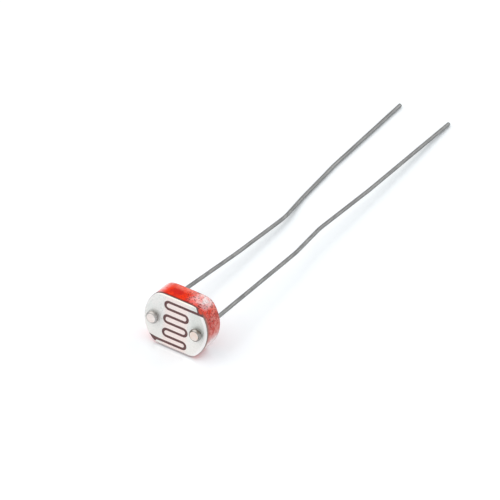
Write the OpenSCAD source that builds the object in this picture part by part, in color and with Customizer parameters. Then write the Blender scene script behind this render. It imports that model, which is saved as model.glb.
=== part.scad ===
// Round photoresistor with two flats, lying on its lower flat and on its two long leads.
// The body is drawn upright about the middle of its face: X to the right, Y to the back, Z up.
// It then leans back until the right lead's tip meets the table at Z = 0.

/* [Body] */
// Diameter of the body over its round sides
body_w = 5.1; // [4.8:0.05:6]
// Height of the body over its two flats
body_h = 4.1; // [3.9:0.05:4.5]
// Thickness of the ceramic disc
ceramic_t = 1.55; // [1:0.05:2.5]
// Thickness of the red coating on the rim
coat_side_t = 0.08; // [0.06:0.01:0.15]
// Thickness of the red coating on the back
coat_back_t = 0.15; // [0.1:0.01:0.3]
// Rounding of the coating's back edge
coat_round = 0.22; // [0.1:0.01:0.24]
// Height of the resin that creeps up each lead at the back
creep_h = 0.3; // [0.1:0.05:0.5]
// Thickness at which the creeping resin ends
creep_lip = 0.03; // [0.02:0.01:0.06]

/* [Face] */
// Thickness of the photoconductive layer
layer_t = 0.1; // [0.05:0.01:0.2]
// Thickness of the electrode films
film_t = 0.03; // [0.02:0.01:0.08]
// Rim of bare layer round the electrode films
film_margin = 0.02; // [0.02:0.01:0.1]
// Width of the winding track between the electrodes
track_w = 0.2; // [0.1:0.01:0.26]
// Height of the track's top run over the middle of the face
track_top = 1.55; // [1.4:0.05:1.65]
// Spacing of the track's runs
run_pitch = 0.55; // [0.45:0.01:0.56]
// Spacing of the last two runs
last_pitch = 0.49; // [0.4:0.01:0.5]
// How far the middle of the track's turns reaches to each side
turn_reach = 0.92; // [0.6:0.01:1]
// How far the top strip reaches past the middle, along the track
top_strip_reach = 1.63; // [1.3:0.01:1.7]
// How much shorter it is along the rim
top_strip_slant = 0.17; // [0.05:0.01:0.3]
// How far the bottom strip reaches past the middle, along the track
bottom_strip_reach = 1.38; // [1.2:0.01:1.6]
// How much longer it is along the rim
bottom_strip_slant = 0.19; // [0.05:0.01:0.3]

/* [Leads] */
// Distance between the two leads in the body
lead_pitch = 3.5; // [3.4:0.05:3.7]
// Diameter of the wire
wire_d = 0.3; // [0.25:0.01:0.5]
// Length of the leads behind the body
lead_length = 33.6; // [30:0.1:40]
// Diameter of the upset heads on the face
head_d = 0.94; // [0.8:0.01:1]
// Height of the heads
head_h = 0.4; // [0.3:0.01:0.5]
// Rounding of the heads' edges
head_round = 0.17; // [0.05:0.01:0.25]
// Diameter of the foot on which each head sits on its electrode
head_foot_d = 0.6; // [0.45:0.01:0.7]
// Clearance round the wire in the holes of the disc and its films
hole_clear = 0.02; // [0.01:0.01:0.06]
// Length of the bevel at the cut tips
tip_bevel = 0.05; // [0.02:0.01:0.1]
// Radius of the tight bends just behind the body
tight_bend = 2.2; // [1.5:0.1:2.5]
// Radius of the long bends further along
long_bend = 9; // [5:0.5:12]

/* [Right lead] */
// Straight length behind the body
right_straight = 0.7; // [0.6:0.1:2]
// Distance behind the body at which the jog starts
right_jog_at = 11.2; // [9:0.1:14]
// How far it has come in by then
right_drift_in = 0.08; // [0.02:0.01:0.3]
// Length of the jog
right_jog_length = 3.8; // [3:0.1:6]
// How far the jog carries it in
right_jog_in = 0.34; // [0.05:0.01:0.5]
// Distance behind the body at which it turns in once more
right_turn_at = 21.7; // [21:0.1:25]
// How far it has moved out again by then
right_turn_out = 0.1; // [0.02:0.01:0.3]
// How far it moves in from there to its tip
right_tip_in = 0.14; // [0.02:0.01:0.3]

/* [Left lead] */
// Straight length behind the body
left_straight = 0.7; // [0.6:0.1:1]
// Length of the offset that follows
left_offset_length = 2.6; // [2:0.1:3.5]
// How far the offset carries it out
left_offset_out = 0.56; // [0.1:0.01:0.8]
// How far the offset carries it down
left_offset_down = 0.6; // [0.1:0.01:0.8]
// Distance behind the body at which it bends outwards
left_bend_at = 15.8; // [13:0.1:17]
// Height of its middle over the table there
left_bend_height = 0.4; // [0.3:0.01:0.6]
// How far it has come back in by then
left_bend_in = 0.37; // [0.05:0.01:0.5]
// How far it bows in on the way there
left_bow = 0.09; // [0.05:0.01:0.2]
// Distance behind the body at which it meets the table
left_rest_at = 18.6; // [18.5:0.1:20]
// How far it has moved out again by then
left_rest_out = 0.42; // [0.05:0.01:0.6]
// Distance behind the body of its last bend
left_turn_at = 23.7; // [22:0.1:26]
// How far out it moves on the way to the last bend
left_turn_out = 0.34; // [0.25:0.01:0.6]
// How far out it moves from the last bend to its tip
left_tip_out = 0.18; // [0.05:0.01:0.4]

/* [Hidden] */
$fn = 72;

// Depths of the layers behind the front of the electrode films
ceramic_front = film_t + layer_t;
ceramic_back = ceramic_front + ceramic_t;
body_t = ceramic_back + coat_back_t;

wire_r = wire_d / 2;
hole_r = wire_r + hole_clear;
head_r = head_d / 2;
far = 2 * body_w;

// A bend is a row of short corners with a ball in each, a little fatter than the wire
corner_angle = 2.5;
corner_gap = 0.8 * wire_d;
ball_swell = 0.004;
ball_trim = wire_r / 6;

// The lean at which the coating's rounded lower back edge and the right lead's tip both meet the table
edge_above = body_h / 2 - coat_round - wire_r;
edge_along = lead_length + coat_round;
lean = atan2(edge_above, edge_along) + asin(coat_round / norm([edge_above, edge_along]));
rise = (body_t - coat_round) * sin(lean) + (body_h / 2 - coat_round) * cos(lean) + coat_round;

// The track's runs from the top down: the gaps between them are the electrodes' fingers
run_count = 7;
last_gap = run_count - 2;
runs = [for (i = [0 : run_count - 1]) track_top - min(i, last_gap) * run_pitch - (i > last_gap ? last_pitch : 0)];
top_run = runs[0];
bottom_run = runs[run_count - 1];
left_turns = [0 : 2 : last_gap];
right_turns = [1 : 2 : last_gap];

// Where a point of the upright body lies once the body leans back
function leaned(p) = [p.x, p.y * cos(lean) + p.z * sin(lean), p.z * cos(lean) - p.y * sin(lean) + rise];

// A point of a lead in the body's middle plane, and one given by its height over the table
function in_plane(x, behind) = leaned([x, body_t + behind, 0]);
function over_table(x, behind, height) = [x, (body_t + behind) * cos(lean), height];

right_hole_x = lead_pitch / 2;
right_jog_x = right_hole_x - right_drift_in;
right_run_x = right_jog_x - right_jog_in;
right_turn_x = right_run_x + right_turn_out;
right_path = [
    leaned([right_hole_x, -head_h / 2, 0]),
    in_plane(right_hole_x, right_straight),
    in_plane(right_jog_x, right_jog_at),
    in_plane(right_run_x, right_jog_at + right_jog_length),
    in_plane(right_turn_x, right_turn_at),
    in_plane(right_turn_x - right_tip_in, lead_length)];
right_bends = [tight_bend, long_bend, long_bend, long_bend];

left_hole_x = -lead_pitch / 2;
left_offset_x = left_hole_x - left_offset_out;
left_bend_x = left_offset_x + left_bend_in;
left_rest_x = left_bend_x - left_rest_out;
left_turn_x = left_rest_x - left_turn_out;
left_tip_x = left_turn_x - left_tip_out;
left_offset_end = in_plane(left_offset_x, left_straight + left_offset_length) - [0, 0, left_offset_down];
left_bend = over_table(left_bend_x, left_bend_at, left_bend_height);
left_path = [
    leaned([left_hole_x, -head_h / 2, 0]),
    in_plane(left_hole_x, left_straight),
    left_offset_end,
    (left_offset_end + left_bend) / 2 + [left_bow, 0, 0],
    left_bend,
    over_table(left_rest_x, left_rest_at, wire_r),
    over_table(left_turn_x, left_turn_at, wire_r),
    over_table(left_tip_x, lead_length, wire_r)];
left_bends = [tight_bend, tight_bend, long_bend, long_bend, long_bend, long_bend];

// The origin lies on the table, under the middle of the whole part
reach_left = min(-body_w / 2, left_tip_x - wire_r);
reach_right = body_w / 2;
reach_front = -head_h * cos(lean) - (head_r - head_round) * sin(lean);
reach_back = (body_t + lead_length) * cos(lean);
middle = [(reach_left + reach_right) / 2, (reach_front + reach_back) / 2, 0];

// Puts a piece of the upright body where it lies on the table
module at_rest() {
    translate([0, 0, rise] - middle) rotate([-lean, 0, 0]) children();
}

// A shape of the face, drawn as seen from the front, made solid from one depth to another
module plate(front, back) {
    translate([0, back, 0]) rotate([90, 0, 0]) linear_extrude(back - front) children();
}

// A half section turned about an axis that runs to the back
module turned() {
    rotate([-90, 0, 0]) rotate_extrude() children();
}

// A rectangle between two corners
module area(low, high) {
    translate(low) square(high - low);
}

// The body's outline, a circle with two flats
module outline(inset) {
    intersection() {
        circle(r = body_w / 2 - inset);
        square([body_w, body_h - 2 * inset], center = true);
    }
}

// The same shape at each of the two lead holes
module at_leads() {
    for (x = [left_hole_x, right_hole_x]) translate([x, 0]) children();
}

// Half section of the coating's outside, with its back edge rounded
module coat_section(half) {
    area([0, ceramic_front], [half, body_t - coat_round]);
    area([0, ceramic_front], [half - coat_round, body_t]);
    translate([half - coat_round, body_t - coat_round]) circle(r = coat_round);
}

// A turned disc cut by a slab, both with rounded back edges
module coat_outside() {
    intersection() {
        turned() coat_section(body_w / 2);
        translate([-body_w, 0, 0]) rotate([90, 0, 90]) linear_extrude(2 * body_w)
            for (flip = [0, 1]) mirror([0, flip]) mirror([1, -1]) coat_section(body_h / 2);
    }
}

// Resin that creeps up a lead, with a hollow side
module creep() {
    reach = creep_h + creep_lip;
    translate([0, ceramic_back, 0]) turned() difference() {
        area([0, 0], [wire_r + creep_h, coat_back_t + creep_h]);
        translate([wire_r + reach, coat_back_t + reach]) circle(r = creep_h);
    }
}

// An electrode's strip along one flat, with a slanting end: its reach along the track and along the rim
module strip(track_z, track_reach, rim_reach) {
    rim_z = sign(track_z) * body_h / 2;
    polygon([[-far, track_z], [track_reach, track_z], [rim_reach, rim_z], [-far, rim_z]]);
}

// The lane between two runs, with a round end inside the turn, widened or narrowed all round
module lane(i, side, grow) {
    gap = runs[i] - runs[i + 1];
    half = gap / 2 + grow;
    translate([side * (turn_reach - gap / 2), (runs[i] + runs[i + 1]) / 2]) {
        circle(r = half);
        area([side > 0 ? -far : 0, -half], [side > 0 ? 0 : far, half]);
    }
}

// One electrode film: its areas and fingers, less the lanes of the other one
module electrode(finger_lanes, other_lanes, finger_side) {
    color("gainsboro") at_rest() plate(0, film_t) difference() {
        intersection() {
            outline(film_margin);
            union() {
                children();
                for (i = finger_lanes) lane(i, finger_side, -track_w / 2);
            }
        }
        for (i = other_lanes) lane(i, -finger_side, track_w / 2);
        at_leads() circle(r = hole_r);
    }
}

function unit(v) = v / norm(v);
function way(path, i) = unit(path[i + 1] - path[i]);

// How many short corners a bend is made of
function bend_steps(angle, radius) =
    max(1, floor(min(angle / corner_angle, radius * angle * PI / 180 / corner_gap)));

// The short corners that round off one corner of a path, along an arc of the given radius
function rounded(corner, before, after, radius) =
    let (angle = acos(before * after),
         steps = bend_steps(angle, radius),
         inward = unit(after - (before * after) * before),
         centre = corner - before * radius * tan(angle / 2) + inward * radius,
         corner_r = radius / cos(angle / 2 / steps))
    [for (k = [0 : steps - 1])
        let (turned_by = angle * (k + 0.5) / steps)
        centre + corner_r * (sin(turned_by) * before - cos(turned_by) * inward)];

// A path with each of its inner corners rounded off
function smooth(path, bends) = [
    path[0],
    for (i = [1 : len(path) - 2]) each rounded(path[i], way(path, i - 1), way(path, i), bends[i - 1]),
    path[len(path) - 1]];

// A straight stretch of wire with a bevel at its end
module stretch(from, to, bevel) {
    run = to - from;
    length = norm(run);
    translate(from) rotate([0, acos(run.z / length), atan2(run.y, run.x)]) rotate_extrude()
        polygon([[0, 0], [wire_r, 0], [wire_r, length - bevel], [wire_r - bevel, length], [0, length]]);
}

// A wire along a path of corners, with a ball in each corner and a bevelled tip
module bent_wire(path) {
    last = len(path) - 1;
    for (i = [0 : last - 1]) {
        from_trim = i == 0 ? 0 : ball_trim;
        to_trim = i == last - 1 ? 0 : ball_trim;
        stretch(path[i] + way(path, i) * from_trim, path[i + 1] - way(path, i) * to_trim,
                i == last - 1 ? tip_bevel : 0);
    }
    for (i = [1 : last - 1]) translate(path[i]) sphere(r = wire_r + ball_swell);
}

// The upset head of a lead: rounded at its widest, and narrower where it sits on its electrode
module head() {
    widest = head_round - head_h;
    turned() {
        polygon([[0, 0], [head_foot_d / 2, 0], [head_r, widest], [0, widest]]);
        area([0, -head_h], [head_r - head_round, widest]);
        translate([head_r - head_round, widest]) circle(r = head_round);
    }
}

module lead(hole_x, path, bends) {
    color("darkgray") {
        at_rest() translate([hole_x, 0, 0]) head();
        translate(-middle) bent_wire(smooth(path, bends));
    }
}

module ceramic_base() {
    color("whitesmoke") at_rest() plate(ceramic_front, ceramic_back) difference() {
        outline(coat_side_t);
        at_leads() circle(r = hole_r);
    }
}

module photoconductive_layer() {
    color("saddlebrown") at_rest() plate(film_t, ceramic_front) difference() {
        outline(0);
        at_leads() circle(r = hole_r);
    }
}

module left_electrode() {
    electrode(right_turns, left_turns, 1) {
        area([-far, bottom_run + track_w / 2], [0, far]);
        strip(top_run + track_w / 2, top_strip_reach, top_strip_reach - top_strip_slant);
    }
}

module right_electrode() {
    electrode(left_turns, right_turns, -1) {
        area([0, -far], [far, top_run - track_w / 2]);
        mirror([1, 0]) strip(bottom_run - track_w / 2, bottom_strip_reach, bottom_strip_reach + bottom_strip_slant);
    }
}

module left_lead() {
    lead(left_hole_x, left_path, left_bends);
}

module right_lead() {
    lead(right_hole_x, right_path, right_bends);
}

module red_coating() {
    color("crimson") at_rest() difference() {
        union() {
            coat_outside();
            at_leads() creep();
        }
        plate(0, ceramic_back) outline(coat_side_t);
        plate(0, far) at_leads() circle(r = wire_r);
    }
}

ceramic_base();
photoconductive_layer();
left_electrode();
right_electrode();
left_lead();
right_lead();
red_coating();
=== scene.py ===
# A photoresistor on a white table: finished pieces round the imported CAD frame, lights and camera.
import math

import bmesh
import bpy
from mathutils import Matrix, Vector, noise
from mathutils.geometry import delaunay_2d_cdt


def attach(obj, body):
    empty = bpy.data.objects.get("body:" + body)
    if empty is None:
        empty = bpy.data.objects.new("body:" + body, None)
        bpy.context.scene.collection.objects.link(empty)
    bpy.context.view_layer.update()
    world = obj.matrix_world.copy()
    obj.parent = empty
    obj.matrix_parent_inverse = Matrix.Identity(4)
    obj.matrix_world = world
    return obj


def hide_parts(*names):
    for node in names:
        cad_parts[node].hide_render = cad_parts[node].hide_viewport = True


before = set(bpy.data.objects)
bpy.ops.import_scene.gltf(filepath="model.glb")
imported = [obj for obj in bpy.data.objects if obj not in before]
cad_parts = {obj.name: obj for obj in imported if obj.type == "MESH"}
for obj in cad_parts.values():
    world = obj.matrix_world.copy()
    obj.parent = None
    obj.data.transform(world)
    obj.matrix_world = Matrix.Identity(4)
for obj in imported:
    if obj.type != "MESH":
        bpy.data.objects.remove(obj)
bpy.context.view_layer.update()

MM = 0.001

# Sizes in millimetres, the same as in the part's source
BODY_W = 5.1
BODY_H = 4.1
CERAMIC_T = 1.55
COAT_SIDE_T = 0.08
COAT_BACK_T = 0.15
COAT_ROUND = 0.22
CREEP_H = 0.3
CREEP_LIP = 0.03
LAYER_T = 0.1
FILM_T = 0.03
FILM_MARGIN = 0.02
TRACK_W = 0.2
TRACK_TOP = 1.55
RUN_PITCH = 0.55
LAST_PITCH = 0.49
RUN_COUNT = 7
TURN_REACH = 0.92
TOP_STRIP_REACH = 1.63
TOP_STRIP_SLANT = 0.17
BOTTOM_STRIP_REACH = 1.38
BOTTOM_STRIP_SLANT = 0.19
LEAD_PITCH = 3.5
WIRE_D = 0.3
LEAD_LENGTH = 33.6
HEAD_D = 0.94
HEAD_H = 0.4
HEAD_ROUND = 0.17
HEAD_FOOT_D = 0.6
HOLE_CLEAR = 0.02
TIP_BEVEL = 0.05
TIGHT_BEND = 2.2
LONG_BEND = 9.0

# Depths behind the front of the electrode films
CERAMIC_FRONT = FILM_T + LAYER_T
CERAMIC_BACK = CERAMIC_FRONT + CERAMIC_T
BODY_T = CERAMIC_BACK + COAT_BACK_T

WIRE_R = WIRE_D / 2
HOLE_R = WIRE_R + HOLE_CLEAR
HEAD_R = HEAD_D / 2
HOLE_X = LEAD_PITCH / 2

# The body leans back until the right lead's tip meets the table
EDGE_ABOVE = BODY_H / 2 - COAT_ROUND - WIRE_R
EDGE_ALONG = LEAD_LENGTH + COAT_ROUND
LEAN = math.atan2(EDGE_ABOVE, EDGE_ALONG) + math.asin(COAT_ROUND / math.hypot(EDGE_ABOVE, EDGE_ALONG))
RISE = (BODY_T - COAT_ROUND) * math.sin(LEAN) + (BODY_H / 2 - COAT_ROUND) * math.cos(LEAN) + COAT_ROUND

# Corners of the leads: distance out from the hole, distance behind the body
RIGHT_STRAIGHT = 0.7
RIGHT_JOG_AT = 11.2
RIGHT_JOG_LENGTH = 3.8
RIGHT_TURN_AT = 21.7
RIGHT_JOG_X = HOLE_X - 0.08
RIGHT_RUN_X = RIGHT_JOG_X - 0.34
RIGHT_TURN_X = RIGHT_RUN_X + 0.1
RIGHT_TIP_X = RIGHT_TURN_X - 0.14
LEFT_STRAIGHT = 0.7
LEFT_OFFSET_LENGTH = 2.6
LEFT_OFFSET_DOWN = 0.6
LEFT_BEND_AT = 15.8
LEFT_BEND_HEIGHT = 0.4
LEFT_REST_AT = 18.6
LEFT_TURN_AT = 23.7
LEFT_OFFSET_X = -HOLE_X - 0.56
LEFT_BEND_X = LEFT_OFFSET_X + 0.37
LEFT_REST_X = LEFT_BEND_X - 0.42
LEFT_TURN_X = LEFT_REST_X - 0.34
LEFT_TIP_X = LEFT_TURN_X - 0.18
LEFT_BOW = 0.09

# The origin lies on the table, under the middle of the whole part
REACH_FRONT = -HEAD_H * math.cos(LEAN) - (HEAD_R - HEAD_ROUND) * math.sin(LEAN)
REACH_BACK = (BODY_T + LEAD_LENGTH) * math.cos(LEAN)
MIDDLE = Vector(((LEFT_TIP_X - WIRE_R + BODY_W / 2) / 2, (REACH_FRONT + REACH_BACK) / 2, 0))

# From the upright body, whose origin is the middle of its face, to where it lies on the table
AT_REST = Matrix.Translation(Vector((0, 0, RISE)) - MIDDLE) @ Matrix.Rotation(-LEAN, 4, "X")
ON_TABLE = Matrix.Translation(-MIDDLE)


def in_metres(matrix):
    """The same placing with its move in metres."""
    return Matrix.Translation(matrix.translation * MM) @ matrix.to_3x3().to_4x4()


BODY_PLACE = in_metres(AT_REST)

# Finer forms than the part's source has: soft corners, rounded edges and an even bow of the left lead
CORNER_SOFT = 0.3
RIM_EDGE = 0.025
RIM_EDGE_SHARE = 0.3
FACE_ROUND = 0.08
FILM_EDGE = 0.012
BOW_BEND = 90.0
HEAD_DOME = 0.003
HEAD_DOME_SHARES = (0.4, 0.75)
TIP_EDGE_SHARE = 0.3
TIP_EDGE_IN = 0.6
TIP_END_IN = 1.6

# Mesh detail
OUTLINE_STEPS = 288
FACE_ROWS = (0.045, 0.06, 0.08)
FACE_ROW_ENDS = 3
ROUND_STEPS = 8
SIDE_STEPS = 8
GRID_STEP = 0.11
CREEP_RINGS = (0.03, 0.05, 0.08, 0.12, 0.17, 0.23, 0.3, 0.38)
FILM_STEP = 0.03
FILM_SOFTENINGS = 3
FILM_EDGE_STEPS = 3
LAYER_EDGE_STEPS = 6
TURN_STEPS = 24
HOLE_STEPS = 32
WIRE_SIDES = 32
WIRE_STEP = 0.2
BEND_STEP = 0.12
HEAD_STEPS = 12
RIM_SEARCH_STEPS = 30
SHARP_ANGLE = 50
SMALLEST_SINE = 1e-6
MERGE_DISTANCE = 1e-7
TRIANGLES_LESS_HOLES = 2

# Bands of faces on a head: those of its top, and all of them down to the wire
HEAD_TOP_BANDS = 3
HEAD_BANDS = HEAD_STEPS + 4

# Unevenness: its height or share, the size of its bumps, and a seed for each surface
FILM_WOBBLE = 0.006
FILM_BUMPS = 0.13
LEFT_FILM_SEED = 7
RIGHT_FILM_SEED = 8
COAT_WOBBLE = 0.018
COAT_BUMPS = 0.7
COAT_SEED = 1
COAT_EVEN_FRONT = 0.3
BACK_BUMPS = 0.6
BACK_SEED = 4
BACK_LAYER = 5
WIRE_WOBBLE = 0.006
WIRE_SWAY = 2.5
WIRE_SWAY_LAYER = 9
WIRE_UNEVEN = 0.015
HEAD_UNEVEN = 0.025
METAL_BUMPS = 0.8
LEFT_LEAD_SEED = 11
RIGHT_LEAD_SEED = 12


def wave(point, size, seed):
    """Smooth unevenness from -1 to 1, with bumps of about the given size."""
    return noise.noise(Vector(point) / size + Vector((seed, 2 * seed, 3 * seed)))


def outline_point(angle, inset):
    """A point of the body's outline, a circle with two flats whose four corners are a little soft."""
    round_reach = BODY_W / 2 - inset
    flat_reach = (BODY_H / 2 - inset) / max(abs(math.sin(angle)), SMALLEST_SINE)
    nearness = max(CORNER_SOFT - abs(round_reach - flat_reach), 0) / CORNER_SOFT
    reach = min(round_reach, flat_reach) - nearness * nearness * CORNER_SOFT / 4
    return Vector((reach * math.cos(angle), reach * math.sin(angle)))


def outline_loop(inset):
    return [outline_point(2 * math.pi * k / OUTLINE_STEPS, inset) for k in range(OUTLINE_STEPS)]


def circle_loop(centre_x, radius):
    angles = [2 * math.pi * k / HOLE_STEPS for k in range(HOLE_STEPS)]
    return [Vector((centre_x + radius * math.cos(a), radius * math.sin(a))) for a in angles]


def lead_holes(radius):
    return [circle_loop(-HOLE_X, radius), circle_loop(HOLE_X, radius)]


def spaced(loop, step):
    """The same closed loop with its points about one step apart."""
    points = []
    for a, b in zip(loop, loop[1:] + loop[:1]):
        count = max(1, round((b - a).length / step))
        points += [a.lerp(b, k / count) for k in range(count)]
    return points


def softened(loop, rounds):
    """A closed loop with its corners rounded off by averaging neighbours."""
    for _ in range(rounds):
        before = loop[-1:] + loop[:-1]
        after = loop[1:] + loop[:1]
        loop = [(a + 2 * b + c) / 4 for a, b, c in zip(before, loop, after)]
    return loop


def turned_area(loop):
    """Twice the loop's area, below zero when it runs clockwise."""
    return sum(a.x * b.y - a.y * b.x for a, b in zip(loop, loop[1:] + loop[:1]))


def drawn_in(loop, distance):
    """A closed loop moved to its left, which is inwards for a loop that runs anticlockwise."""
    moved = []
    for a, b, c in zip(loop[-1:] + loop[:-1], loop, loop[1:] + loop[:1]):
        way = (c - a).normalized()
        moved.append(b + Vector((-way.y, way.x)) * distance)
    return moved


class Shape:
    """Points and faces of one closed mesh, collected surface by surface."""

    def __init__(self):
        self.points = []
        self.faces = []

    def ring(self, points):
        start = len(self.points)
        self.points += points
        return list(range(start, len(self.points)))

    def bridge(self, one, other):
        """Joins two rings of the same length with a band of four-sided faces."""
        for k in range(len(one)):
            j = (k + 1) % len(one)
            self.faces.append((one[k], one[j], other[j], other[k]))

    def close(self, ring, tip):
        """Joins a ring to one point."""
        end = self.ring([tip])[0]
        for k in range(len(ring)):
            self.faces.append((ring[k], ring[(k + 1) % len(ring)], end))

    def cap(self, rings, loops, inner, depth):
        """Fills the area between closed loops, whose points are already in the mesh as rings."""
        flat = [p for loop in loops for p in loop] + inner
        index = [i for ring in rings for i in ring]
        index += self.ring([(p.x, depth(p), p.y) for p in inner])
        edges = []
        start = 0
        for loop in loops:
            count = len(loop)
            edges += [(start + k, start + (k + 1) % count) for k in range(count)]
            start += count
        filled = delaunay_2d_cdt(flat, edges, [], TRIANGLES_LESS_HOLES, MERGE_DISTANCE)
        made, _, triangles, origin, _, _ = filled
        if len(made) != len(flat):
            raise ValueError("the loops of a cap cross each other")
        for triangle in triangles:
            self.faces.append([index[origin[v][0]] for v in triangle])


def slab(outer, holes, front, back, edge, steps, inner):
    """A thin plate with holes and a small round on its front edges. Inner points lie within its faces."""
    shape = Shape()
    loops = [outer if turned_area(outer) > 0 else outer[::-1]]
    loops += [hole if turned_area(hole) < 0 else hole[::-1] for hole in holes]
    tilts = [math.pi / 2 * k / steps for k in range(steps + 1)]
    profile = [(edge * (1 - math.sin(t)), front + edge * (1 - math.cos(t))) for t in tilts]
    profile.append((0, back))
    fronts, backs = [], []
    for loop in loops:
        rings = [shape.ring([(p.x, y, p.y) for p in drawn_in(loop, inset)]) for inset, y in profile]
        for one, other in zip(rings, rings[1:]):
            shape.bridge(one, other)
        fronts.append(rings[0])
        backs.append(rings[-1])
    shape.cap(fronts, [drawn_in(loop, edge) for loop in loops], inner, lambda p: front)
    shape.cap(backs, loops, inner, lambda p: back)
    return shape


def face_drop(point):
    """How far the face has rounded off at a point near the body's outline."""
    edge = outline_point(math.atan2(point.y, point.x), 0)
    slope = abs(edge.y) / edge.length if abs(edge.y) > BODY_H / 2 - RIM_EDGE else 1
    inset = (edge.length - point.length) * slope
    if inset >= FACE_ROUND:
        return 0
    return FACE_ROUND - math.sqrt(FACE_ROUND ** 2 - (FACE_ROUND - max(inset, 0)) ** 2)


def rim_angle(track_end, rim_end):
    """The angle at which the slanting end of a strip meets the film's rim."""
    low, high = 0.0, 1.0
    for _ in range(RIM_SEARCH_STEPS):
        share = (low + high) / 2
        p = track_end.lerp(rim_end, share)
        angle = math.atan2(p.y, p.x)
        if p.length < outline_point(angle, FILM_MARGIN).length:
            low = share
        else:
            high = share
    return angle


def electrode_loop(runs, track_reach, rim_reach):
    """The edge of an electrode that lies on the left with its strip on top, and points near its rim."""
    half = TRACK_W / 2
    track_end = Vector((track_reach, runs[0] + half))
    loop = [track_end]
    for i, (upper, lower) in enumerate(zip(runs, runs[1:])):
        side = 1 if i % 2 else -1
        gap = upper - lower
        radius = gap / 2 - side * half
        centre = Vector((side * (TURN_REACH - gap / 2), (upper + lower) / 2))
        for k in range(TURN_STEPS + 1):
            turn = math.pi * k / TURN_STEPS
            loop.append(centre + radius * Vector((side * math.sin(turn), math.cos(turn))))
    start = math.pi - math.asin((runs[-1] + half) / (BODY_W / 2 - FILM_MARGIN))
    end = rim_angle(track_end, Vector((rim_reach, BODY_H / 2)))
    steps = OUTLINE_STEPS // 2
    angles = [start + (end - start) * k / steps for k in range(steps + 1)]
    loop += [outline_point(angle, FILM_MARGIN) for angle in angles]
    inner_angles = angles[FACE_ROW_ENDS:-FACE_ROW_ENDS]
    rows = [outline_point(angle, inset) for inset in FACE_ROWS for angle in inner_angles]
    return loop, rows


def electrode(runs, track_reach, rim_reach, turn, hole_x, seed):
    """One electrode film with slightly uneven printed edges. It follows the round of the face's edge."""
    loop, rows = electrode_loop(runs, track_reach, rim_reach)
    loop = softened(spaced([turn * p for p in loop], FILM_STEP), FILM_SOFTENINGS)
    loop = loop if turned_area(loop) > 0 else loop[::-1]
    ways = [(c - a).normalized() for a, c in zip(loop[-1:] + loop[:-1], loop[1:] + loop[:1])]
    uneven = [FILM_WOBBLE * (1 + wave((p.x, 0, p.y), FILM_BUMPS, seed)) / 2 for p in loop]
    loop = [p + Vector((-w.y, w.x)) * d for p, w, d in zip(loop, ways, uneven)]
    inner = [turn * p for p in rows]
    shape = slab(loop, [circle_loop(hole_x, HOLE_R)], 0, FILM_T, FILM_EDGE, FILM_EDGE_STEPS, inner)
    shape.points = [(x, y + face_drop(Vector((x, z))), z) for x, y, z in shape.points]
    return shape


def from_lead(point):
    """How far a point of the back is from the axis of the nearer lead."""
    return min((point - Vector((x, 0))).length for x in (-HOLE_X, HOLE_X))


def creep_height(point):
    """How far the resin stands above the back at a point, where it creeps up the leads."""
    out = from_lead(point) - WIRE_R
    reach = CREEP_H + CREEP_LIP
    if out >= reach:
        return 0
    if out <= CREEP_LIP:
        return CREEP_H
    return reach - math.sqrt(CREEP_H ** 2 - (reach - out) ** 2) - CREEP_LIP * (out / reach) ** 2


def back_depth(point):
    sag = COAT_WOBBLE * (1 + wave((point.x, BACK_LAYER, point.y), BACK_BUMPS, BACK_SEED)) / 2
    return BODY_T + creep_height(point) - sag


def back_points():
    """Points spread over the back, closer together round the leads."""
    points = []
    for x in (-HOLE_X, HOLE_X):
        for out in CREEP_RINGS:
            points += circle_loop(x, WIRE_R + out)
    clear = WIRE_R + CREEP_RINGS[-1] + GRID_STEP / 2
    row_step = GRID_STEP * math.sqrt(3) / 2
    rows = int(BODY_H / 2 / row_step)
    columns = int(BODY_W / 2 / GRID_STEP)
    for row in range(-rows, rows + 1):
        for column in range(-columns - 1, columns + 1):
            p = Vector(((column + row % 2 / 2) * GRID_STEP, row * row_step))
            edge = outline_point(math.atan2(p.y, p.x), COAT_ROUND).length - p.length
            if edge > GRID_STEP / 2 and from_lead(p) > clear:
                points.append(p)
    return points


def coat_profile():
    """Distance in from the outline and depth, from the pocket's front edge over the rim to the back."""
    rim_middle = RIM_EDGE_SHARE * RIM_EDGE
    profile = [(COAT_SIDE_T, CERAMIC_FRONT), (RIM_EDGE, CERAMIC_FRONT)]
    profile.append((rim_middle, CERAMIC_FRONT + rim_middle))
    side_front = CERAMIC_FRONT + RIM_EDGE
    side_back = BODY_T - COAT_ROUND
    for k in range(SIDE_STEPS):
        profile.append((0, side_front + (side_back - side_front) * k / SIDE_STEPS))
    for k in range(ROUND_STEPS + 1):
        tilt = math.pi / 2 * k / ROUND_STEPS
        profile.append((COAT_ROUND * (1 - math.cos(tilt)), side_back + COAT_ROUND * math.sin(tilt)))
    return profile


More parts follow.
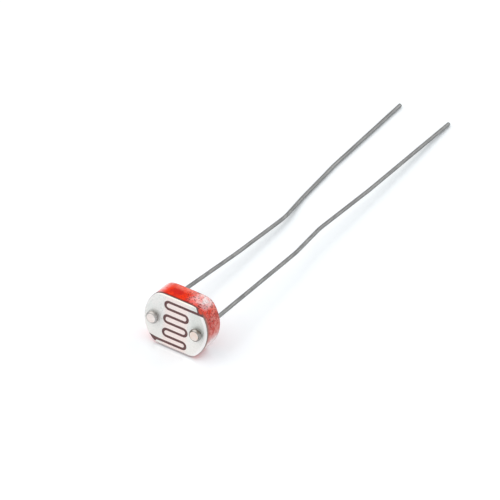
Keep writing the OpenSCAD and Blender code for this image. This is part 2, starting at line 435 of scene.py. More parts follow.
def coating():
    """The red resin shell: rim, rounded back edge, back with creeping resin, and pocket for the disc."""
    shape = Shape()
    rings = []
    for inset, y in coat_profile():
        depth = min(1, (y - CERAMIC_FRONT) / COAT_EVEN_FRONT)
        ring = []
        for k in range(OUTLINE_STEPS):
            p = outline_point(2 * math.pi * k / OUTLINE_STEPS, inset)
            p *= 1 - depth * COAT_WOBBLE * (1 + wave((p.x, y, p.y), COAT_BUMPS, COAT_SEED)) / 2 / p.length
            ring.append((p.x, y, p.y))
        rings.append(shape.ring(ring))
    for one, other in zip(rings, rings[1:]):
        shape.bridge(one, other)
    back_loop = [Vector((shape.points[i][0], shape.points[i][2])) for i in rings[-1]]
    hole_loops = lead_holes(WIRE_R)
    lips = [shape.ring([(p.x, BODY_T + CREEP_H, p.y) for p in loop]) for loop in hole_loops]
    shape.cap([rings[-1]] + lips, [back_loop] + hole_loops, back_points(), back_depth)
    pocket = outline_loop(COAT_SIDE_T)
    floor_ring = shape.ring([(p.x, CERAMIC_BACK, p.y) for p in pocket])
    shape.bridge(rings[0], floor_ring)
    floor_holes = [shape.ring([(p.x, CERAMIC_BACK, p.y) for p in loop]) for loop in hole_loops]
    shape.cap([floor_ring] + floor_holes, [pocket] + hole_loops, [], None)
    for lip, floor_hole in zip(lips, floor_holes):
        shape.bridge(lip, floor_hole)
    return shape


def in_plane(x, behind):
    """A corner of a lead in the middle plane of the leaning body."""
    return AT_REST @ Vector((x, BODY_T + behind, 0))


def over_table(x, behind, height):
    """A corner of a lead given by its height over the table."""
    return ON_TABLE @ Vector((x, (BODY_T + behind) * math.cos(LEAN), height))


RIGHT_PATH = [
    AT_REST @ Vector((HOLE_X, 0, 0)),
    in_plane(HOLE_X, RIGHT_STRAIGHT),
    in_plane(RIGHT_JOG_X, RIGHT_JOG_AT),
    in_plane(RIGHT_RUN_X, RIGHT_JOG_AT + RIGHT_JOG_LENGTH),
    in_plane(RIGHT_TURN_X, RIGHT_TURN_AT),
    in_plane(RIGHT_TIP_X, LEAD_LENGTH),
]
RIGHT_BENDS = [TIGHT_BEND, LONG_BEND, LONG_BEND, LONG_BEND]
LEFT_OFFSET_END = in_plane(LEFT_OFFSET_X, LEFT_STRAIGHT + LEFT_OFFSET_LENGTH)
LEFT_OFFSET_END -= Vector((0, 0, LEFT_OFFSET_DOWN))
LEFT_BEND = over_table(LEFT_BEND_X, LEFT_BEND_AT, LEFT_BEND_HEIGHT)
LEFT_PATH = [
    AT_REST @ Vector((-HOLE_X, 0, 0)),
    in_plane(-HOLE_X, LEFT_STRAIGHT),
    LEFT_OFFSET_END,
    (LEFT_OFFSET_END + LEFT_BEND) / 2 + Vector((LEFT_BOW, 0, 0)),
    LEFT_BEND,
    over_table(LEFT_REST_X, LEFT_REST_AT, WIRE_R),
    over_table(LEFT_TURN_X, LEFT_TURN_AT, WIRE_R),
    over_table(LEFT_TIP_X, LEAD_LENGTH, WIRE_R),
]
LEFT_BENDS = [TIGHT_BEND, TIGHT_BEND, BOW_BEND, LONG_BEND, LONG_BEND, LONG_BEND]


def bend_points(corner, before, after, radius):
    """Points along the arc that rounds off one corner of a path."""
    angle = before.angle(after)
    inward = (after - before * before.dot(after)).normalized()
    centre = corner - before * radius * math.tan(angle / 2) + inward * radius
    steps = max(2, math.ceil(radius * angle / BEND_STEP))
    turns = [angle * k / steps for k in range(steps + 1)]
    return [centre + radius * (math.sin(t) * before - math.cos(t) * inward) for t in turns]


def smooth_path(corners, radii):
    """A path with its corners rounded off, and points close enough together for a smooth wire."""
    ways = [(b - a).normalized() for a, b in zip(corners, corners[1:])]
    coarse = [corners[0]]
    for i, radius in enumerate(radii):
        coarse += bend_points(corners[i + 1], ways[i], ways[i + 1], radius)
    coarse.append(corners[-1])
    points = [coarse[0]]
    for a, b in zip(coarse, coarse[1:]):
        count = max(1, round((b - a).length / WIRE_STEP))
        points += [a.lerp(b, (k + 1) / count) for k in range(count)]
    return points


def head_profile():
    """Radius and distance in front of the face, from the middle of the head's top to the wire."""
    flat = HEAD_R - HEAD_ROUND
    taper = (HEAD_R - HEAD_FOOT_D / 2) / (HEAD_H - HEAD_ROUND)
    last_tilt = math.pi / 2 + 2 * math.atan(taper)
    inner_share, outer_share = HEAD_DOME_SHARES
    profile = [(inner_share * flat, HEAD_H), (outer_share * flat, HEAD_H - HEAD_DOME)]
    for k in range(HEAD_STEPS + 1):
        tilt = last_tilt * k / HEAD_STEPS
        front = HEAD_H - HEAD_ROUND + HEAD_ROUND * math.cos(tilt)
        profile.append((flat + HEAD_ROUND * math.sin(tilt), front))
    return profile + [(HEAD_FOOT_D / 2, 0.0), (WIRE_R, 0.0)]


def lead_rings(points, seed):
    """Centre, direction, radius and unevenness of each ring along a lead, from its head to its tip."""
    first_way = (points[1] - points[0]).normalized()
    rings = []
    for radius, front in head_profile():
        rings.append((points[0] - first_way * front, first_way, radius, HEAD_UNEVEN))
    body_end = BODY_T + CREEP_H
    for i in range(1, len(points)):
        way = (points[min(i + 1, len(points) - 1)] - points[i - 1]).normalized()
        along = (points[i] - points[0]).length
        free = min(1, max(0, along - body_end), (points[-1] - points[i]).length)
        sway_x = wave((along, 0, 0), WIRE_SWAY, seed)
        sway_z = wave((along, WIRE_SWAY_LAYER, 0), WIRE_SWAY, seed)
        centre = points[i] + WIRE_WOBBLE * free * Vector((sway_x, 0, sway_z))
        uneven = WIRE_UNEVEN * free
        rings.append((centre, way, WIRE_R * (1 - uneven), uneven))
    tip, way, radius, uneven = rings.pop()
    rings.append((tip - way * TIP_BEVEL, way, radius, uneven))
    rings.append((tip - way * TIP_BEVEL * TIP_EDGE_SHARE, way, radius - TIP_BEVEL * TIP_EDGE_IN, uneven))
    rings.append((tip, way, radius - TIP_BEVEL * TIP_END_IN, uneven))
    return rings


def lead(path, radii, seed):
    """A lead in one skin: upset head, wire through the body, bends, and cut tip."""
    rings = lead_rings(smooth_path(path, radii), seed)
    shape = Shape()
    across = rings[0][1].orthogonal().normalized()
    made = []
    for centre, way, radius, uneven in rings:
        across = (across - way * across.dot(way)).normalized()
        up = way.cross(across)
        ring = []
        for k in range(WIRE_SIDES):
            angle = 2 * math.pi * k / WIRE_SIDES
            out = math.cos(angle) * across + math.sin(angle) * up
            ring.append(centre + out * radius * (1 + uneven * wave(centre + out, METAL_BUMPS, seed)))
        made.append(shape.ring(ring))
    for one, other in zip(made, made[1:]):
        shape.bridge(one, other)
    shape.close(made[0], rings[0][0])
    shape.close(made[-1], rings[-1][0])
    return shape


def piece(name, shape, node, place, materials):
    """Makes a shape into a piece that stands for a CAD node and rides on the body."""
    mesh = bpy.data.meshes.new(name)
    mesh.from_pydata([Vector(p) * MM for p in shape.points], [], shape.faces)
    work = bmesh.new()
    work.from_mesh(mesh)
    bmesh.ops.recalc_face_normals(work, faces=work.faces)
    work.to_mesh(mesh)
    work.free()
    mesh.polygons.foreach_set("use_smooth", [True] * len(mesh.polygons))
    mesh.set_sharp_from_angle(angle=math.radians(SHARP_ANGLE))
    for material in materials:
        mesh.materials.append(material)
    made = bpy.data.objects.new(name, mesh)
    bpy.context.collection.objects.link(made)
    made.matrix_world = place
    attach(made, "root")
    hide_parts(node)
    return made


class Graph:
    """A node tree with short ways to add and join nodes. Positions are in millimetres of the piece."""

    def __init__(self, tree):
        self.tree = tree

    def add(self, kind, settings=None, inputs=None):
        node = self.tree.nodes.new(kind)
        for name, value in (settings or {}).items():
            setattr(node, name, value)
        for name, value in (inputs or {}).items():
            self.give(node.inputs[name], value)
        return node

    def give(self, socket, value):
        if isinstance(value, bpy.types.NodeSocket):
            self.tree.links.new(value, socket)
        else:
            socket.default_value = value

    def position(self, stretch=(1, 1, 1)):
        place = self.add("ShaderNodeTexCoord").outputs["Object"]
        scale = [s / MM for s in stretch]
        return self.add("ShaderNodeMapping", inputs={"Vector": place, "Scale": scale}).outputs["Vector"]

    def axes(self, position):
        """The X, Y and Z of a position."""
        return self.add("ShaderNodeSeparateXYZ", inputs={"Vector": position}).outputs

    def distance(self, position):
        """How far a position is from the origin of the piece."""
        node = self.add("ShaderNodeVectorMath", {"operation": "LENGTH"}, {"Vector": position})
        return node.outputs["Value"]

    def noise(self, position, scale, detail=3.0, roughness=0.55):
        inputs = {"Vector": position, "Scale": scale, "Detail": detail, "Roughness": roughness}
        return self.add("ShaderNodeTexNoise", inputs=inputs).outputs["Fac"]

    def math(self, operation, a, b=0.0):
        node = self.add("ShaderNodeMath", {"operation": operation})
        self.give(node.inputs[0], a)
        self.give(node.inputs[1], b)
        return node.outputs[0]

    def product(self, first, *others):
        for other in others:
            first = self.math("MULTIPLY", first, other)
        return first

    def fade(self, value, limits, to=(0.0, 1.0)):
        """A smooth change from one level to another while a value goes from one limit to the other."""
        inputs = {
            "Value": value,
            "From Min": limits[0],
            "From Max": limits[1],
            "To Min": to[0],
            "To Max": to[1],
        }
        settings = {"interpolation_type": "SMOOTHSTEP"}
        return self.add("ShaderNodeMapRange", settings, inputs).outputs["Result"]

    def mix(self, factor, a, b):
        node = self.add("ShaderNodeMix", {"data_type": "RGBA"})
        self.give(node.inputs["Factor"], factor)
        for socket, value in zip([s for s in node.inputs if s.type == "RGBA"], (a, b)):
            self.give(socket, value if isinstance(value, bpy.types.NodeSocket) else (*value, 1))
        return next(s for s in node.outputs if s.type == "RGBA")

    def bump(self, height, distance, strength=1.0):
        inputs = {"Height": height, "Distance": distance * MM, "Strength": strength}
        return self.add("ShaderNodeBump", inputs=inputs).outputs["Normal"]


class Finish(Graph):
    """The node tree of a material that has one principled shader."""

    def __init__(self, name, metallic, specular=0.5):
        self.material = bpy.data.materials.new(name)
        self.material.use_nodes = True
        super().__init__(self.material.node_tree)
        self.shader = self.tree.nodes["Principled BSDF"]
        self.shader.inputs["Metallic"].default_value = metallic
        self.shader.inputs["Specular IOR Level"].default_value = specular

    def done(self, colour, roughness, normal):
        self.give(self.shader.inputs["Base Color"], colour)
        self.give(self.shader.inputs["Roughness"], roughness)
        self.give(self.shader.inputs["Normal"], normal)
        return self.material


# Limits between which the noise of a texture is turned into a colour
BROAD = (0.3, 0.7)
NARROW = (0.42, 0.58)
PATCHES = (0.4, 0.56)
STAINS = (0.4, 0.6)

# Looks of the electrode films, with places in millimetres from the middle of the face
FILM_DARK = (0.73, 0.71, 0.69)
FILM_LIGHT = (0.955, 0.915, 0.89)
FILM_MOTTLE = (0.72, 0.73, 0.7)
FILM_PIT = (0.5, 0.51, 0.47)
FILM_GLINT = (1.0, 0.99, 0.97)
FILM_CLOUD = (0.76, 0.8, 0.77)
# Painted light: the face paler towards the bottom
FILM_LIT_LOW = (0.91, 0.87, 0.825)
FILM_LIT_LOW_Z = (0.2, -1.2)
FILM_WARM = (0.95, 0.77, 0.73)
FILM_WARM_X = (1.15, 0.7)
# Painted shade: the upper right of the face greyer
FILM_SHADE = (0.62, 0.65, 0.6)
FILM_SHADE_X = (0.95, 1.4)
FILM_SHADE_Z = (-0.5, 0.1)
# Painted highlight: a pale band along the right rim of the face
FILM_RIM_HIGHLIGHT = (0.97, 0.93, 0.92)
FILM_RIM_HIGHLIGHT_OUT = (2.25, 2.42)
FILM_RIM_HIGHLIGHT_X = (1.2, 2.0)
FILM_WORN = (0.1, 0.045, 0.045)
FILM_WORN_LEAN = 0.126
FILM_WORN_BELOW = (-1.735, -1.76)
FILM_WORN_Z = (-1.74, -1.66)
# Painted highlight: cream along the top flat of the face
FILM_TOP_HIGHLIGHT = (0.98, 0.93, 0.82)
FILM_TOP_HIGHLIGHT_Z = (1.92, 1.98)
# Painted shade: pinkish grey along the bottom flat of the face
FILM_BOTTOM_SHADE = (0.5, 0.43, 0.45)
FILM_BOTTOM_SHADE_Z = (-1.9, -2.0)


def film_material():
    """Satin metal film: cloudy, grainy silver, warm between the turns, painted light towards the bottom,
    painted shade at the upper right and along the bottom flat, and painted highlights on the right rim
    and, in cream, along the top flat.
    """
    g = Finish("electrode_film", metallic=0.4)
    place = g.position()
    axes = g.axes(place)
    grain = g.noise(place, scale=14.0, detail=4.0, roughness=0.65)
    mottle = g.noise(place, scale=4.5, detail=3.0, roughness=0.6)
    pits = g.noise(place, scale=8.5, detail=2.0, roughness=0.7)
    cloud = g.noise(place, scale=1.3, detail=2.0)
    silver = g.mix(g.fade(grain, BROAD), FILM_DARK, FILM_LIGHT)
    silver = g.mix(g.fade(mottle, (0.42, 0.64), to=(0.0, 0.35)), silver, FILM_MOTTLE)
    silver = g.mix(g.fade(pits, (0.54, 0.68), to=(0.0, 0.5)), silver, FILM_PIT)
    silver = g.mix(g.fade(pits, (0.44, 0.32), to=(0.0, 0.5)), silver, FILM_GLINT)
    silver = g.mix(g.fade(cloud, (0.4, 0.65), to=(0.0, 0.3)), silver, FILM_CLOUD)
    # Painted light: paler towards the bottom of the face
    silver = g.mix(g.fade(axes["Z"], FILM_LIT_LOW_Z, to=(0.0, 0.5)), silver, FILM_LIT_LOW)
    across = g.math("ABSOLUTE", axes["X"])
    silver = g.mix(g.fade(across, FILM_WARM_X, to=(0.0, 0.65)), silver, FILM_WARM)
    # Painted shade: greyer over the upper right of the face
    dull = g.product(g.fade(axes["X"], FILM_SHADE_X, to=(0.0, 0.45)), g.fade(axes["Z"], FILM_SHADE_Z))
    silver = g.mix(dull, silver, FILM_SHADE)
    # Painted highlight along the right rim of the face
    right_rim = g.fade(axes["X"], FILM_RIM_HIGHLIGHT_X, to=(0.0, 0.75))
    bright = g.product(g.fade(g.distance(place), FILM_RIM_HIGHLIGHT_OUT), right_rim)
    silver = g.mix(bright, silver, FILM_RIM_HIGHLIGHT)
    corner = g.math("ADD", axes["Z"], g.product(axes["X"], FILM_WORN_LEAN))
    worn = g.product(g.fade(corner, FILM_WORN_BELOW), g.fade(axes["Z"], FILM_WORN_Z))
    silver = g.mix(worn, silver, FILM_WORN)
    # Painted highlight in cream along the top flat
    silver = g.mix(g.fade(axes["Z"], FILM_TOP_HIGHLIGHT_Z, to=(0.0, 0.8)), silver, FILM_TOP_HIGHLIGHT)
    # Painted shade along the bottom flat
    silver = g.mix(g.fade(axes["Z"], FILM_BOTTOM_SHADE_Z, to=(0.0, 0.8)), silver, FILM_BOTTOM_SHADE)
    return g.done(silver, g.fade(grain, (0.25, 0.75), to=(0.42, 0.6)), g.bump(grain, distance=0.006))


# Looks of the photoconductive layer, with places in millimetres from the middle of the face
LAYER_DARK = (0.1, 0.042, 0.042)
LAYER_LIGHT = (0.21, 0.11, 0.11)
LAYER_CLOUD = (0.15, 0.085, 0.075)
OVERRUN = (0.75, 0.08, 0.04)
OVERRUN_LEAN = TOP_STRIP_SLANT / (BODY_H / 2 - TRACK_TOP - TRACK_W / 2)
OVERRUN_PAST = (2.41, 2.51)
OVERRUN_Z = (1.58, 1.68)
# Painted shade: olive grey on the rounded right rim
LAYER_RIM_SHADE = (0.4, 0.32, 0.28)
LAYER_RIM_SHADE_OUT = (BODY_W / 2 - 0.06, BODY_W / 2)
LAYER_RIM_SHADE_X = (1.9, 2.3)


def layer_material():
    """Sintered photoconductor: brown, granular and dull, with red resin over it past the top strip and
    painted shade in olive grey on the right rim.
    """
    g = Finish("photoconductor", metallic=0.0, specular=0.3)
    place = g.position()
    axes = g.axes(place)
    grain = g.noise(place, scale=22.0, detail=4.0, roughness=0.7)
    cloud = g.noise(place, scale=2.2, detail=2.0)
    brown = g.mix(g.fade(grain, BROAD), LAYER_DARK, LAYER_LIGHT)
    brown = g.mix(g.fade(cloud, (0.4, 0.7), to=(0.0, 0.4)), brown, LAYER_CLOUD)
    past_strip = g.math("ADD", axes["X"], g.product(axes["Z"], OVERRUN_LEAN))
    overrun = g.product(g.fade(past_strip, OVERRUN_PAST), g.fade(axes["Z"], OVERRUN_Z))
    brown = g.mix(overrun, brown, OVERRUN)
    # Painted shade in olive grey on the rounded right rim
    right_rim = g.fade(axes["X"], LAYER_RIM_SHADE_X, to=(0.0, 0.7))
    brown = g.mix(g.product(g.fade(g.distance(place), LAYER_RIM_SHADE_OUT), right_rim), brown, LAYER_RIM_SHADE)
    return g.done(brown, g.fade(grain, (0.2, 0.8), to=(0.55, 0.8)), g.bump(grain, distance=0.012))


# Looks of the red coat, with places in millimetres from the middle of the face
RED_BRIGHT = (0.9, 0.032, 0.0)
RED_DEEP = (0.66, 0.014, 0.006)
RED_THIN = (0.98, 0.27, 0.21)
RED_THIN_Y = (0.95, 1.6)
# Painted shade and painted sheen: duller, paler red on the right side
RED_SIDE_SHADE = (0.62, 0.11, 0.09)
RED_SIDE_SHEEN = (0.78, 0.32, 0.28)
RED_SIDE_SHADE_X = (1.8, 2.35)
# Pale scuffs with a painted sheen on the shoulders
SCUFF_AND_SHEEN = (1.0, 0.8, 0.79)
RIGHT_SCUFF_SHEEN_X = (0.2, 1.4)
RIGHT_SCUFF_SHEEN_Y = (0.25, 0.9)
RIGHT_SCUFF_SHEEN_Z = (1.5, 1.9)
LEFT_SCUFF_SHEEN_X = (-1.1, -1.9)
LEFT_SCUFF_SHEEN_Z = (0.8, 1.6)
# Painted sheen: paler low on the right side
LOW_SHEEN = (1.0, 0.86, 0.85)
LOW_SHEEN_X = (1.4, 1.9)
LOW_SHEEN_Z = (0.1, -0.9)
LOW_SHEEN_END_Z = (-2.0, -1.7)
# Painted shade: a darker line along the back edge
BACK_EDGE_SHADE = (0.4, 0.16, 0.14)
BACK_EDGE_SHADE_Y = (1.62, 1.72)
SPECK = (0.07, 0.014, 0.01)
SPECK_STRETCH = (1.3, 1.0, 1.6)
SPECK_X = (-0.4, 0.7)
SPECK_Z = (0.2, 1.1)
BACK_BRIGHT = (0.8, 0.06, 0.035)
BACK_DEEP = (0.64, 0.033, 0.02)
BACK_Y = (1.76, 1.81)
FRONT_RIM = (0.1, 0.025, 0.015)
FRONT_RIM_Y = (CERAMIC_FRONT + 0.14, CERAMIC_FRONT)
FRONT_RIM_X = (2.0, 0.5)
# Painted shade: brown grey on the right side next to the face
SIDE_RIM_SHADE = (0.42, 0.2, 0.165)
SIDE_RIM_SHADE_Y = (0.45, 0.15)
SIDE_RIM_SHADE_X = (1.7, 2.2)


def resin_material():
    """Red dip coating with thick and thin places and brown specks; painted shade and sheen on its right
    side, pale scuffs and painted sheen on its shoulders, painted sheen low on the right, and painted shade
    along the back edge and beside the face.
    """
    g = Finish("red_resin", metallic=0.0, specular=0.06)
    place = g.position()
    axes = g.axes(place)
    grain = g.noise(place, scale=9.0, detail=3.0, roughness=0.6)
    cloud = g.noise(place, scale=1.1, detail=3.0)
    blotch = g.noise(place, scale=3.2, detail=4.0, roughness=0.62)
    speck = g.noise(g.position(SPECK_STRETCH), scale=6.5, detail=4.0, roughness=0.7)

    red = g.mix(g.fade(cloud, NARROW), RED_BRIGHT, RED_DEEP)
    thin = g.product(g.fade(axes["Y"], RED_THIN_Y, to=(0.0, 0.85)), g.fade(blotch, PATCHES, to=(0.4, 1.0)))
    red = g.mix(thin, red, RED_THIN)
    # Painted shade and sheen on the right side
    side = g.mix(g.fade(blotch, NARROW), RED_SIDE_SHADE, RED_SIDE_SHEEN)
    red = g.mix(g.fade(axes["X"], RED_SIDE_SHADE_X, to=(0.0, 0.75)), red, side)

    right = g.product(
        g.fade(axes["X"], RIGHT_SCUFF_SHEEN_X),
        g.fade(axes["Z"], RIGHT_SCUFF_SHEEN_Z),
        g.fade(axes["Y"], RIGHT_SCUFF_SHEEN_Y, to=(0.2, 1.0)),
    )
    left = g.product(g.fade(axes["X"], LEFT_SCUFF_SHEEN_X, to=(0.0, 0.8)), g.fade(axes["Z"], LEFT_SCUFF_SHEEN_Z))
    # Scuffs and painted sheen on the shoulders
    scuff_and_sheen = g.product(g.math("MAXIMUM", right, left), g.fade(blotch, PATCHES, to=(0.45, 1.0)))
    red = g.mix(scuff_and_sheen, red, SCUFF_AND_SHEEN)
    # Painted sheen low on the right side
    low = g.product(
        g.fade(axes["X"], LOW_SHEEN_X),
        g.fade(axes["Z"], LOW_SHEEN_Z),
        g.fade(blotch, PATCHES, to=(0.8, 1.0)),
        g.fade(axes["Z"], LOW_SHEEN_END_Z),
    )
    red = g.mix(low, red, LOW_SHEEN)

    # Painted shade along the back edge
    edge = g.product(g.fade(axes["Y"], BACK_EDGE_SHADE_Y), g.fade(blotch, (0.42, 0.55), to=(0.3, 0.8)))
    red = g.mix(edge, red, BACK_EDGE_SHADE)
    specks = g.product(
        g.fade(speck, (0.55, 0.59)),
        g.fade(cloud, (0.4, 0.55), to=(0.7, 1.0)),
        g.fade(scuff_and_sheen, (0.3, 1.0), to=(1.0, 0.5)),
        g.fade(axes["X"], SPECK_X, to=(0.12, 1.0)),
        g.fade(axes["Z"], SPECK_Z, to=(0.15, 1.0)),
    )
    red = g.mix(specks, red, SPECK)
    back = g.mix(g.fade(blotch, BROAD), BACK_BRIGHT, BACK_DEEP)
    red = g.mix(g.fade(axes["Y"], BACK_Y), red, back)
    rim = g.product(g.fade(axes["Y"], FRONT_RIM_Y), g.fade(axes["X"], FRONT_RIM_X, to=(0.3, 0.85)))
    red = g.mix(rim, red, FRONT_RIM)
    # Painted shade beside the face on the right side
    side_rim_shade = g.product(g.fade(axes["Y"], SIDE_RIM_SHADE_Y), g.fade(axes["X"], SIDE_RIM_SHADE_X, to=(0.0, 0.75)))
    red = g.mix(side_rim_shade, red, SIDE_RIM_SHADE)
    return g.done(red, g.fade(grain, BROAD, to=(0.25, 0.45)), g.bump(grain, distance=0.02))


# Looks of the leads. The two heads differ, and one lies on either side of X = 0
WIRE_DARK = (0.14, 0.14, 0.14)
WIRE_LIGHT = (0.26, 0.26, 0.255)
WIRE_PATCH = (0.32, 0.32, 0.31)
WIRE_STREAKS = (1, 0.04, 1)
TOP_DARK = (0.68, 0.615, 0.59)
TOP_LIGHT = (0.82, 0.765, 0.745)
TOP_WARM = (0.72, 0.57, 0.495)
# Painted shade: the heads' sides are greys darker than their tops
SIDE_DARK = (0.34, 0.33, 0.32)
SIDE_LIGHT = (0.56, 0.55, 0.54)
# Brown tarnish and painted shade on the heads' sides
SIDE_TARNISH_AND_SHADE = (0.14, 0.11, 0.085)
LEFT_TO_RIGHT = (-0.5, 0.5)


def wire_material():
    """Tinned wire: grey metal with lines drawn along it and dull patches."""
    g = Finish("tinned_wire", metallic=1.0)
    streak = g.noise(g.position(WIRE_STREAKS), scale=16.0, detail=3.0)
    patch = g.noise(g.position(), scale=1.6, detail=3.0)
    grey = g.mix(g.fade(streak, BROAD), WIRE_DARK, WIRE_LIGHT)
    grey = g.mix(g.fade(patch, (0.5, 0.7), to=(0.0, 0.5)), grey, WIRE_PATCH)
    return g.done(grey, g.fade(patch, BROAD, to=(0.3, 0.48)), g.bump(streak, distance=0.006))


def head_top_material():
    """Upset end of the tinned wire: bright, hammered and faintly warm, more so on the right."""
    g = Finish("head_top", metallic=1.0)
    place = g.position()
    axes = g.axes(place)
    dent = g.noise(place, scale=5.0, detail=3.0)
    stain = g.noise(place, scale=2.4, detail=2.0)
    tin = g.mix(g.fade(dent, BROAD), TOP_DARK, TOP_LIGHT)
    right = g.fade(axes["X"], LEFT_TO_RIGHT, to=(0.3, 0.8))
    tin = g.mix(g.product(g.fade(stain, STAINS, to=(0.4, 1.0)), right), tin, TOP_WARM)
    return g.done(tin, g.fade(dent, BROAD, to=(0.3, 0.45)), g.bump(dent, distance=0.01))


def head_side_material():
    """Bulging side of an upset head: painted shade makes it darker than its top; brown tarnish with
    painted shade, more so on the right.
    """
    g = Finish("head_side", metallic=1.0)
    place = g.position()
    axes = g.axes(place)
    dent = g.noise(place, scale=6.0, detail=3.0)
    stain = g.noise(place, scale=3.0, detail=2.0)
    tin = g.mix(g.fade(dent, BROAD), SIDE_DARK, SIDE_LIGHT)
    right = g.fade(axes["X"], LEFT_TO_RIGHT, to=(0.3, 0.9))
    # Brown tarnish with painted shade, more on the right
    tin = g.mix(g.product(g.fade(stain, STAINS, to=(0.4, 1.0)), right), tin, SIDE_TARNISH_AND_SHADE)
    return g.done(tin, g.fade(dent, BROAD, to=(0.35, 0.5)), g.bump(dent, distance=0.01))


# Looks of the ceramic disc
CERAMIC_DARK = (0.78, 0.76, 0.72)
CERAMIC_LIGHT = (0.88, 0.87, 0.84)


def ceramic_material():
    """Fired alumina: chalky white with faint speckle."""
    g = Finish("ceramic", metallic=0.0)
    speckle = g.noise(g.position(), scale=18.0, detail=4.0, roughness=0.7)
    white = g.mix(g.fade(speckle, (0.35, 0.7)), CERAMIC_DARK, CERAMIC_LIGHT)
    return g.done(white, g.fade(speckle, BROAD, to=(0.5, 0.7)), g.bump(speckle, distance=0.008))


# Heights of the track's runs, from the top of the face and, for the right film, from its bottom
RUNS = [TRACK_TOP - RUN_PITCH * i for i in range(RUN_COUNT - 1)]
RUNS.append(RUNS[-1] - LAST_PITCH)
TURNED_RUNS = [-z for z in reversed(RUNS)]
TOP_STRIP_RIM = TOP_STRIP_REACH - TOP_STRIP_SLANT
BOTTOM_STRIP_RIM = BOTTOM_STRIP_REACH + BOTTOM_STRIP_SLANT

# The leads, and the places of their heads' materials in their list of materials
LEADS = (
    ("left", LEFT_PATH, LEFT_BENDS, LEFT_LEAD_SEED),
    ("right", RIGHT_PATH, RIGHT_BENDS, RIGHT_LEAD_SEED),
)
HEAD_TOP_PLACE = 1
HEAD_SIDE_PLACE = 2

film = film_material()
layer_look = layer_material()
lead_materials = [wire_material(), head_top_material(), head_side_material()]

left_film = electrode(RUNS, TOP_STRIP_REACH, TOP_STRIP_RIM, 1, -HOLE_X, LEFT_FILM_SEED)
right_film = electrode(TURNED_RUNS, BOTTOM_STRIP_REACH, BOTTOM_STRIP_RIM, -1, HOLE_X, RIGHT_FILM_SEED)
layer = slab(outline_loop(0), lead_holes(HOLE_R), FILM_T, CERAMIC_FRONT, FACE_ROUND, LAYER_EDGE_STEPS, [])
piece("left_electrode_film", left_film, "left_electrode", BODY_PLACE, [film])
piece("right_electrode_film", right_film, "right_electrode", BODY_PLACE, [film])
piece("photoconductor_layer", layer, "photoconductive_layer", BODY_PLACE, [layer_look])
piece("red_resin_coat", coating(), "red_coating", BODY_PLACE, [resin_material()])
for side, path, bends, seed in LEADS:
    shape = lead(path, bends, seed)
    name = side + "_tinned_lead"
    made = piece(name, shape, side + "_lead", Matrix.Identity(4), lead_materials)
    for face in made.data.polygons:
        band = min(face.vertices) // WIRE_SIDES
        if band < HEAD_TOP_BANDS:
            face.material_index = HEAD_TOP_PLACE
        elif band < HEAD_BANDS:
            face.material_index = HEAD_SIDE_PLACE

# The ceramic disc is the frame's own, with a finish of its own
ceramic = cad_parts["ceramic_base"]
ceramic.data.materials.clear()
ceramic.data.materials.append(ceramic_material())

# White table that keeps the part's shadow, and a white room behind it
FLOOR_SIZE = 6.0
FLOOR_COLOUR = (0.75, 0.77, 0.785, 1)
FLOOR_LIFT = 0.155
FLOOR_GLOSS = (0.15, 0.15, 0.15, 1)
FLOOR_GLOSS_ROUGHNESS = 0.3
ROOM_WHITE = (1, 1, 1, 1)
AMBIENT_COLOUR = (0.88, 0.95, 1.0, 1)
AMBIENT = 0.54
KEY_COLOUR = (1.0, 0.97, 0.935)
KEY_STRENGTH = 1.56
KEY_ANGLE = 70
KEY_FROM = Vector((-0.5, -0.45, 1.0))
RIM_COLOUR = (1.0, 1.0, 1.0)
RIM_STRENGTH = 0.64
RIM_ANGLE = 60
RIM_FROM = Vector((0.45, 0.75, 0.6))


def seen_directly(g):
    """One for rays from the camera and for mirrored or refracted ones, and zero for others."""
    rays = g.add("ShaderNodeLightPath").outputs
    either = g.math("MAXIMUM", rays["Is Camera Ray"], rays["Is Glossy Ray"])
    return g.math("MAXIMUM", either, rays["Is Transmission Ray"])


def table_material():
    """A pale, faintly glossy table that looks white where no shadow falls on it."""
    made = bpy.data.materials.new("table")
    made.use_nodes = True
    g = Graph(made.node_tree)
    g.tree.nodes.remove(g.tree.nodes["Principled BSDF"])
    diffuse = g.add("ShaderNodeBsdfDiffuse", inputs={"Color": FLOOR_COLOUR})
    glow = g.add("ShaderNodeEmission", inputs={"Strength": g.product(seen_directly(g), FLOOR_LIFT)})
    gloss_inputs = {"Color": FLOOR_GLOSS, "Roughness": FLOOR_GLOSS_ROUGHNESS}
    gloss = g.add("ShaderNodeBsdfAnisotropic", inputs=gloss_inputs)
    surface = diffuse.outputs[0]
    for part in (glow, gloss):
        both = g.add("ShaderNodeAddShader")
        g.give(both.inputs[0], surface)
        g.give(both.inputs[1], part.outputs[0])
        surface = both.outputs[0]
    g.give(g.tree.nodes["Material Output"].inputs["Surface"], surface)
    return made


half = FLOOR_SIZE / 2
table_corners = [(-half, -half, 0), (half, -half, 0), (half, half, 0), (-half, half, 0)]
table_mesh = bpy.data.meshes.new("table")
table_mesh.from_pydata(table_corners, [], [range(len(table_corners))])
table_mesh.materials.append(table_material())
table = bpy.data.objects.new("table", table_mesh)
bpy.context.collection.objects.link(table)

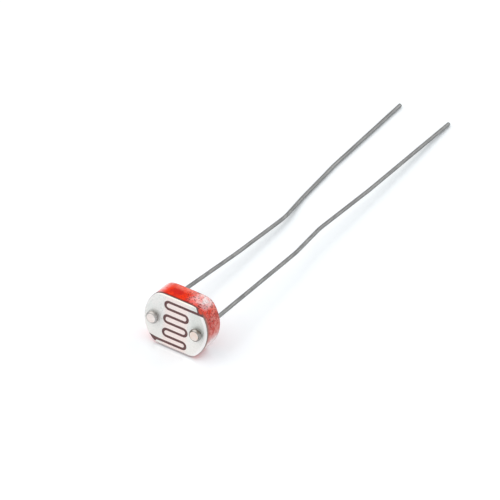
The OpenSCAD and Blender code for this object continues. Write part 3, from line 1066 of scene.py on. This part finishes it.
world = bpy.data.worlds.new("white_room")
bpy.context.scene.world = world
world.use_nodes = True
room = Graph(world.node_tree)
soft = room.add("ShaderNodeBackground", inputs={"Color": AMBIENT_COLOUR, "Strength": AMBIENT})
white = room.add("ShaderNodeBackground", inputs={"Color": ROOM_WHITE, "Strength": 1.0})
background = room.add("ShaderNodeMixShader", inputs={"Fac": seen_directly(room)})
room.give(background.inputs[1], soft.outputs[0])
room.give(background.inputs[2], white.outputs[0])
room.give(world.node_tree.nodes["World Output"].inputs["Surface"], background.outputs[0])


def soft_lamp(name, colour, strength, angle, light_from):
    """A lamp so far off that it lights the whole table alike, as wide as a soft box."""
    lamp = bpy.data.lights.new(name, "SUN")
    lamp.color = colour
    lamp.energy = strength
    lamp.angle = math.radians(angle)
    made = bpy.data.objects.new(name, lamp)
    made.rotation_mode = "QUATERNION"
    made.rotation_quaternion = (-light_from).to_track_quat("-Z", "Y")
    bpy.context.collection.objects.link(made)


soft_lamp("key", KEY_COLOUR, KEY_STRENGTH, KEY_ANGLE, KEY_FROM)
soft_lamp("rim", RIM_COLOUR, RIM_STRENGTH, RIM_ANGLE, RIM_FROM)

# The photograph's view, in millimetres of the upright body: the camera's place and two of its directions
CAMERA_PLACE = Vector((124.407, -216.819, 166.024))
CAMERA_BACK = Vector((0.40626, -0.73878, 0.53773)).normalized()
CAMERA_RIGHT = Vector((0.8452, 0.52746, 0.08612))
CAMERA_LENS = 317.32
CAMERA_SENSOR = 36.0
CAMERA_NEAR = 0.01
CAMERA_FAR = 20.0

camera_right = (CAMERA_RIGHT - CAMERA_BACK * CAMERA_RIGHT.dot(CAMERA_BACK)).normalized()
camera_up = CAMERA_BACK.cross(camera_right)
camera_data = bpy.data.cameras.new("camera")
camera_data.lens = CAMERA_LENS
camera_data.sensor_width = CAMERA_SENSOR
camera_data.clip_start = CAMERA_NEAR
camera_data.clip_end = CAMERA_FAR
camera = bpy.data.objects.new("camera", camera_data)
turn = Matrix((camera_right, camera_up, CAMERA_BACK)).transposed()
camera.matrix_world = BODY_PLACE @ Matrix.Translation(CAMERA_PLACE * MM) @ turn.to_4x4()
bpy.context.collection.objects.link(camera)
bpy.context.scene.camera = camera
bpy.context.scene.view_settings.view_transform = "Standard"
